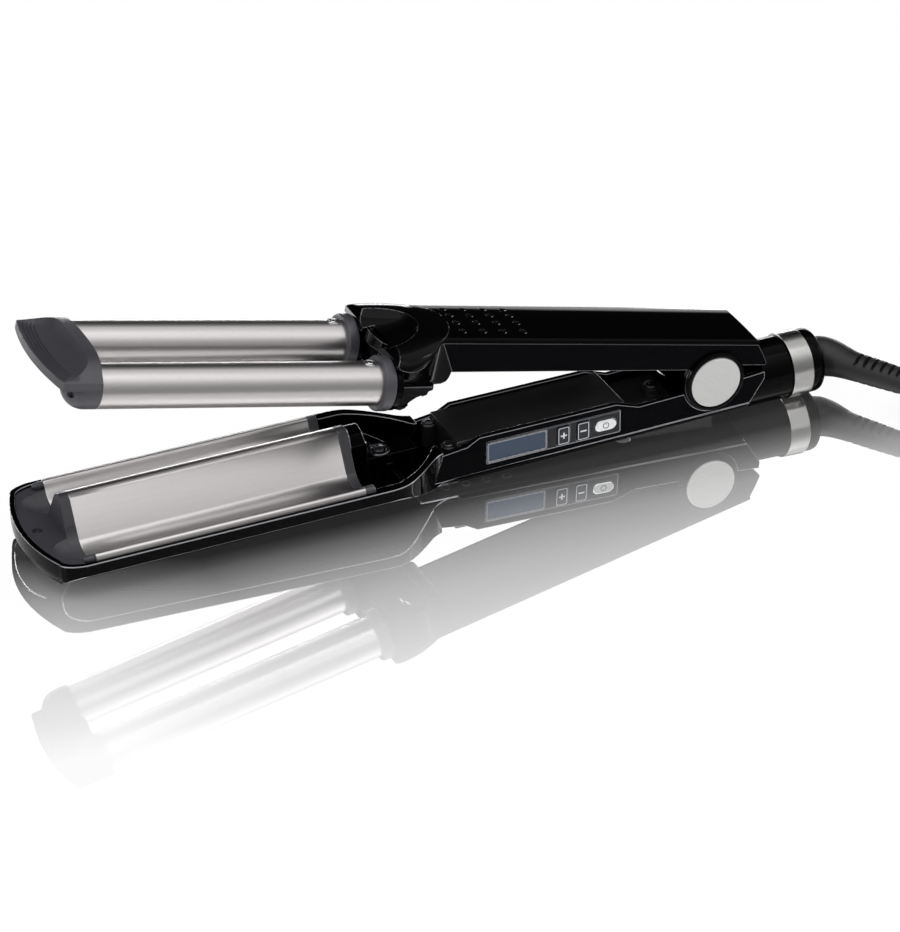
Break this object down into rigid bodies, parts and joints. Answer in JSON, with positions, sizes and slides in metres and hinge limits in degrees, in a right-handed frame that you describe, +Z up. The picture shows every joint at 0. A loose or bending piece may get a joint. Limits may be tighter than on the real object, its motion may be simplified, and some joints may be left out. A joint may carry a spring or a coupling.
{
  "type": "hair waver",
  "caption": "Handheld hair waver: a sprung arm with heated round barrels closes onto a waved plate in a tray; side keys with a display and a mains cord on a swivel.",
  "frame": {"origin": "on the resting surface, on the flat of the tray's underside, midway between its sides", "axes": "+X along the handles from the barrels to the cord, +Y away from the side with the keys, +Z up"},
  "size_m": [0.4524, 0.109, 0.0861],
  "materials": {
    "black_gloss": "gloss black ABS",
    "side_black": "satin blue-black ABS",
    "satin_black": "satin black plastic",
    "panel_black": "satin black panel",
    "dark_grey": "matte heat-resistant resin",
    "titanium": "satin titanium-grey coating on aluminium",
    "heater_metal": "cast heater body",
    "brushed_metal": "brushed steel",
    "screw_steel": "zinc-plated steel",
    "dark_screw": "blackened steel",
    "chrome": "polished chrome",
    "bezel_silver": "silver lacquer",
    "display_glass": "blue-grey display glass",
    "key_navy": "dark navy key cap",
    "board_green": "green circuit board",
    "switch_white": "white plastic switches",
    "module_grey": "grey display module",
    "cushion_rubber": "red-brown silicone rubber",
    "cord_black": "black flexible PVC"
  },
  "bodies": {
    "lower": {"lower_shell": "black_gloss", "lower_frame": "black_gloss", "inner_deck": "satin_black", "control_panel": "panel_black", "display_bezel": "bezel_silver", "display_window": "display_glass", "circuit_board": "board_green", "switch_block": "switch_white", "display_module": "module_grey", "board_post": "satin_black", "deck_screw": "screw_steel", "neck_screw_near": "screw_steel", "neck_screw_far": "screw_steel", "neck_bracket": "satin_black", "bracket_screw": "screw_steel", "shell_screw_front": "screw_steel", "shell_screw_rear": "screw_steel", "wave_plate": "titanium", "plate_carrier": "heater_metal", "plate_heater": "heater_metal", "plate_cushion_front": "cushion_rubber", "plate_cushion_rear": "cushion_rubber", "end_strip": "dark_grey", "crest_flange": "satin_black", "tip_insert": "dark_grey", "tray_screw": "dark_screw", "tail_barrel": "black_gloss", "tail_ring": "brushed_metal", "end_ring": "black_gloss", "hinge_pin": "screw_steel", "hinge_ring_near": "black_gloss", "hinge_ring_far": "black_gloss", "hinge_disc_near": "brushed_metal", "hinge_disc_far": "brushed_metal", "hinge_spring": "screw_steel"},
    "upper": {"upper_cover": "black_gloss", "upper_frame": "side_black", "upper_liner": "satin_black", "upper_head": "black_gloss", "barrel_near": "titanium", "barrel_far": "titanium", "barrel_heater_near": "heater_metal", "barrel_heater_far": "heater_metal", "collar_near": "dark_grey", "collar_far": "dark_grey", "rivet_near": "chrome", "rivet_far": "chrome", "tip_guard": "dark_grey"},
    "plus_key": {"button_plus": "key_navy"},
    "minus_key": {"button_minus": "key_navy"},
    "power_key": {"button_power": "chrome"},
    "swivel": {"swivel_core": "cord_black", "strain_relief": "cord_black", "cord_tube": "cord_black", "cord_coil": "cord_black", "cord_tie": "cord_black", "cord_end": "cord_black", "plug_body": "cord_black", "plug_pins": "chrome"}
  },
  "joints": [
    {"name": "arm_hinge", "type": "hinge", "parent": "lower", "child": "upper", "pos_m": [0.195, 0, 0.022], "axis": [0, 1, 0], "range_deg": [-13.5, 0], "stiffness_Nm_per_rad": 2, "springref_deg": 14.32},
    {"name": "plus_press", "type": "slide", "parent": "lower", "child": "plus_key", "axis": [0, 1, 0], "range_m": [0, 0.0005], "stiffness_N_per_m": 1200, "springref_m": -0.0002},
    {"name": "minus_press", "type": "slide", "parent": "lower", "child": "minus_key", "axis": [0, 1, 0], "range_m": [0, 0.0005], "stiffness_N_per_m": 1200, "springref_m": -0.0002},
    {"name": "power_press", "type": "slide", "parent": "lower", "child": "power_key", "axis": [0, 1, 0], "range_m": [0, 0.0005], "stiffness_N_per_m": 1200, "springref_m": -0.0002},
    {"name": "cord_swivel", "type": "hinge", "parent": "lower", "child": "swivel", "pos_m": [0.24522, 0, 0.01303], "axis": [0.9997, 0, 0.0227], "continuous": true}
  ]
}
